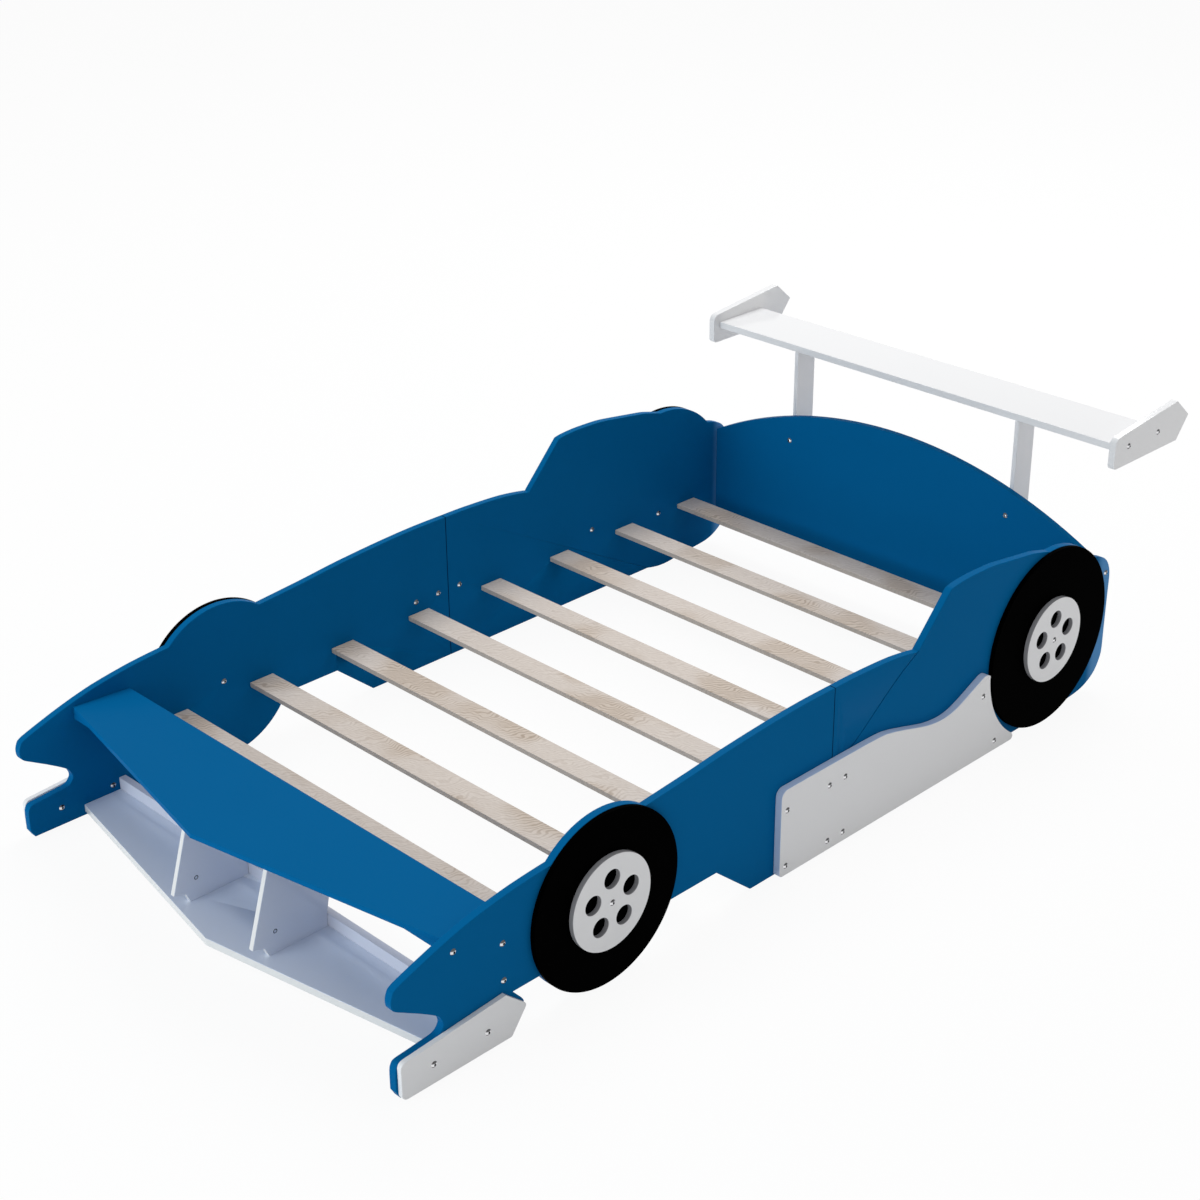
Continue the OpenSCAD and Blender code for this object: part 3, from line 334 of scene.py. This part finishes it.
def zinc_plate(name, nut_at=None):
    """Zinc plating on steel: a bright grey metal with a grain a fifth of a millimetre wide,
    drawn at 0.6 mm so that it shows. A painted reflection darkens it where the surface looks
    up or down, and painted shade darkens it where the metal round it hides the room within
    6 mm, as in a socket. A barrel nut, given by its middle's Y and Z, also has a painted
    shade rim, dark where its end meets the bore."""
    grain_mm, smoothest, roughest = 0.6, 0.15, 0.3
    socket_reach, hidden, in_the_open = 0.006, 0.7, 0.97
    band_from, band_to, dark_share = 0.18, 0.45, 0.12
    rim_from, rim_to = 0.0026, 0.0042
    mat = new_material(name)
    coords = add(mat, "ShaderNodeTexCoord")
    grain = add(mat, "ShaderNodeTexNoise", Vector=coords.outputs["Object"],
                Scale=1000 / grain_mm, Detail=2.0)
    rough = add(mat, "ShaderNodeMapRange", Value=grain.outputs["Fac"], _3=smoothest,
                _4=roughest)
    plate = add(mat, "ShaderNodeMix", {"data_type": "RGBA"}, Factor=grain.outputs["Fac"],
                _6=linear(zinc_dull), _7=linear(zinc_bright))
    # Painted shade: ambient occlusion darkens the socket and the metal's hollows.
    painted_socket_shade = add(mat, "ShaderNodeAmbientOcclusion", {"samples": 8, "only_local": True},
                 Distance=socket_reach)
    open_room = add(mat, "ShaderNodeMapRange", Value=painted_socket_shade.outputs["AO"], _1=hidden,
                    _2=in_the_open)
    # Painted reflection: light round a head's middle height, dark where it looks up or down.
    tilt = add(mat, "ShaderNodeSeparateXYZ", Vector=coords.outputs["Normal"]).outputs["Z"]
    steep = add(mat, "ShaderNodeMath", {"operation": "ABSOLUTE"}, _0=tilt)
    painted_reflection_band = add(mat, "ShaderNodeMapRange", {"interpolation_type": "SMOOTHSTEP"},
               Value=steep.outputs[0], _1=band_from, _2=band_to, _3=1.0, _4=dark_share)
    bright = add(mat, "ShaderNodeMath", {"operation": "MULTIPLY"},
                 _0=open_room.outputs["Result"], _1=painted_reflection_band.outputs["Result"])
    tone = add(mat, "ShaderNodeMix", {"data_type": "RGBA"}, Factor=bright.outputs[0],
               _6=linear(painted_dark_shade_and_reflection), _7=plate.outputs[2])
    # Painted shade: a dark rim where the nut's end meets the bore.
    if nut_at:
        end = add(mat, "ShaderNodeMapping", Vector=coords.outputs["Object"], Scale=(0, 1, 1))
        out = add(mat, "ShaderNodeVectorMath", {"operation": "DISTANCE"}, _0=end.outputs[0],
                  _1=(0, *nut_at))
        rim = add(mat, "ShaderNodeMapRange", {"interpolation_type": "SMOOTHSTEP"},
                  Value=out.outputs["Value"], _1=rim_from, _2=rim_to)
        tone = add(mat, "ShaderNodeMix", {"data_type": "RGBA"}, Factor=rim.outputs["Result"],
                   _6=tone.outputs[2], _7=linear(nut_rim_painted_shade))
    metal = add(mat, "ShaderNodeBsdfPrincipled", Base_Color=tone.outputs[2], Metallic=1.0,
                Roughness=rough.outputs["Result"])
    add(mat, "ShaderNodeOutputMaterial", Surface=metal.outputs["BSDF"])
    return mat


def dress(node, material):
    """Gives a CAD node's own mesh a material."""
    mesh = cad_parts[node].data
    mesh.materials.clear()
    mesh.materials.append(material)


zinc = zinc_plate("bright zinc plate on steel")
for name in (
        "side_bolts", "side_barrel_nuts", "bumper_bolts", "bumper_sleeve_nuts", "skirt_bolts",
        "skirt_inserts", "inner_screws", "wheel_bolts", "wheel_sleeve_nuts", "wheel_inserts",
        "wing_bolts", "wing_barrel_nuts", "post_bolts", "post_barrel_nuts", "divider_bolts"):
    dress(name, zinc)
low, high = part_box("divider_barrel_nuts")
nut_middle = [(low[i] + high[i]) / 2 for i in (1, 2)]
rimmed_zinc = zinc_plate("zinc plate with a painted shade rim in the divider", nut_middle)
dress("divider_barrel_nuts", rimmed_zinc)


# Dowels of turned beech, glued into the boards and hidden there. Beech is a denser and
# redder wood than pine, with the same streaks along the grain.
beech_light, beech_dark, beech_middle = "#D9B98F", "#B98F5F", "#CDA97C"
beech = planed_pine("turned beech", beech_light, beech_dark, beech_middle, beech_middle, 3)
for name in ("slat_dowels", "board_dowels", "wheel_dowels"):
    dress(name, beech)


# Pale floor: the bed stands on a wide sheet of matt white paper. It reads as almost white
# to the camera and in reflections, and keeps a faint shadow of the bed.
sheet_half, white_share, paper_white = 20.0, 0.93, "#F6F6F6"


def seen_directly(owner):
    """Adds the nodes that tell rays apart. The last one gives 1 to those that come straight
    from the camera, from a gloss or through glass, and 0 to those that carry light."""
    rays = add(owner, "ShaderNodeLightPath")
    seen = add(owner, "ShaderNodeMath", {"operation": "MAXIMUM"},
               _0=rays.outputs["Is Camera Ray"], _1=rays.outputs["Is Glossy Ray"])
    return add(owner, "ShaderNodeMath", {"operation": "MAXIMUM"}, _0=seen.outputs[0],
               _1=rays.outputs["Is Transmission Ray"])


def paper_sheet(half):
    """A flat square on the floor, of matt paper. The rays that are seen directly get plain
    white instead, by the share called white_share."""
    mesh = bpy.data.meshes.new("floor")
    mesh.from_pydata([(-half, -half, 0), (half, -half, 0), (half, half, 0), (-half, half, 0)],
                     [], [(0, 1, 2, 3)])
    floor = bpy.data.objects.new("floor", mesh)
    bpy.context.scene.collection.objects.link(floor)
    mat = new_material("white paper sheet")
    paper = add(mat, "ShaderNodeBsdfDiffuse", Color=linear(paper_white))
    glow = add(mat, "ShaderNodeEmission", Color=(1, 1, 1, 1), Strength=1.0)
    share = add(mat, "ShaderNodeMath", {"operation": "MULTIPLY"},
                _0=seen_directly(mat).outputs[0], _1=white_share)
    both = add(mat, "ShaderNodeMixShader", _0=share.outputs[0], _1=paper.outputs[0],
               _2=glow.outputs[0])
    add(mat, "ShaderNodeOutputMaterial", Surface=both.outputs[0])
    mesh.materials.append(mat)


paper_sheet(sheet_half)


# Studio: an even white sky, which lights the bed at half of the strength that it shows, a
# large soft lamp high up behind the tail on the far side, and a weak cool one ahead of the
# nose, low down. Each lamp is a disc that faces the bed's middle.
sky_light = 0.50
lamps = (("soft lamp", (-1.4, 3.7, 5.6), 4.5, 248, (1.0, 1.0, 1.0)),
         ("cool fill", (-0.8, -6.0, 1.8), 3.5, 135, (0.80, 0.92, 1.0)))
world = bpy.data.worlds.new("white studio")
world.use_nodes = True
bpy.context.scene.world = world
sky = world.node_tree.nodes["Background"]
sky.inputs["Color"].default_value = (1, 1, 1, 1)
strength = add(world, "ShaderNodeMath", {"operation": "MULTIPLY_ADD"},
               _0=seen_directly(world).outputs[0], _1=1 - sky_light, _2=sky_light)
world.node_tree.links.new(strength.outputs[0], sky.inputs["Strength"])
for name, place, width, watts, tint in lamps:
    lamp = bpy.data.lights.new(name, "AREA")
    lamp.shape, lamp.size, lamp.energy, lamp.color = "DISK", width, watts, tint
    stand = bpy.data.objects.new(name, lamp)
    bpy.context.scene.collection.objects.link(stand)
    stand.location = place
    stand.rotation_euler = (-stand.location).to_track_quat("-Z", "Y").to_euler()


# Camera, at the photograph's viewing angle: 46 degrees round towards the bed's left side
# and 26 degrees above the floor, with its frame turned by half a degree. The lens is a
# short telephoto on a sensor 36 mm wide.
turn, rise, roll = np.radians((45.67, 26.36, -0.49))
stand_point, lens_mm, sensor_mm = (3.1249, -3.161, 2.567), 64.54, 36.0
ahead = np.array((-np.sin(turn) * np.cos(rise), np.cos(turn) * np.cos(rise), -np.sin(rise)))
level = np.array((np.cos(turn), np.sin(turn), 0))
upright = np.cross(level, ahead)
lens = bpy.data.cameras.new("camera")
lens.sensor_width = sensor_mm
lens.lens = lens_mm
lens.clip_end = 100
camera = bpy.data.objects.new("camera", lens)
bpy.context.scene.collection.objects.link(camera)
pose = np.eye(4)
pose[:3, 0] = np.cos(roll) * level + np.sin(roll) * upright
pose[:3, 1] = np.cos(roll) * upright - np.sin(roll) * level
pose[:3, 2] = -ahead
pose[:3, 3] = stand_point
camera.matrix_world = Matrix(pose.tolist())
bpy.context.scene.camera = camera
bpy.context.scene.view_settings.view_transform = "Standard"
